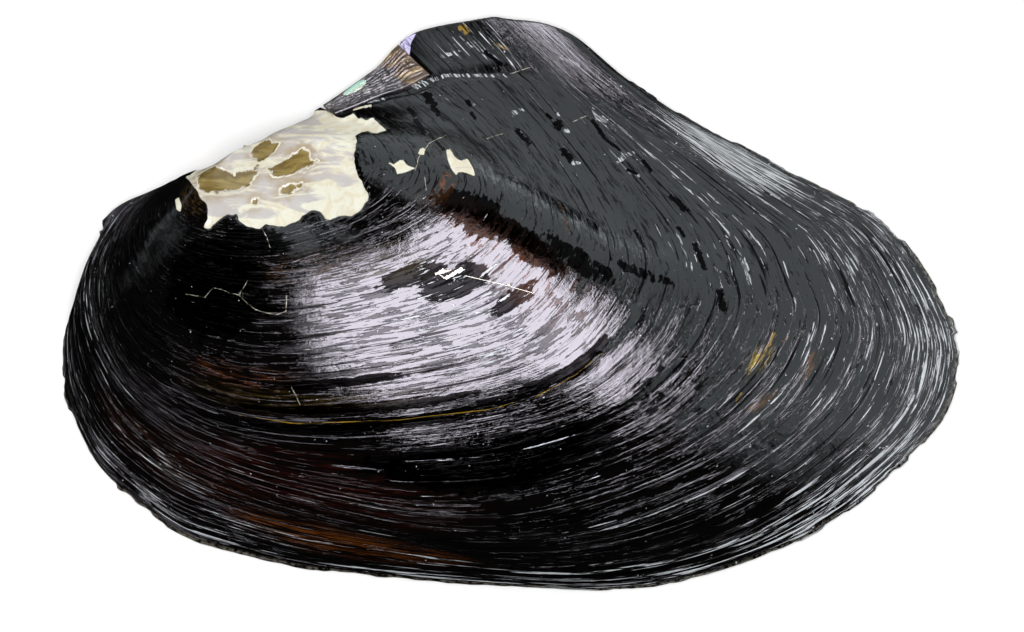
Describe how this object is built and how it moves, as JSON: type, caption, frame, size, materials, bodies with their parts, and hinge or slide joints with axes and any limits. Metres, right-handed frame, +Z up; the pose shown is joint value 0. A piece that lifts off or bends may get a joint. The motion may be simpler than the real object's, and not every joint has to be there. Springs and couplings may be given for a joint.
{
  "type": "mussel shell",
  "caption": "Single valve of a large winged freshwater mussel, dark outside up, with concentric growth ledges, a worn umbo, a high triangular wing and a pearly hollow beneath.",
  "frame": {"origin": "middle of the footprint, on the plane that the rim rests on", "axes": "+X towards the pointed rear end, +Y towards the hinge and wing, +Z up out of the dome"},
  "size_m": [0.232, 0.1482, 0.0403],
  "materials": {
    "shell": "glossy black-brown skin over white and pearly shell",
    "ligament": "torn horny fibres, satin"
  },
  "bodies": {
    "root": {"left_valve": "shell", "ligament": "ligament"}
  },
  "joints": []
}
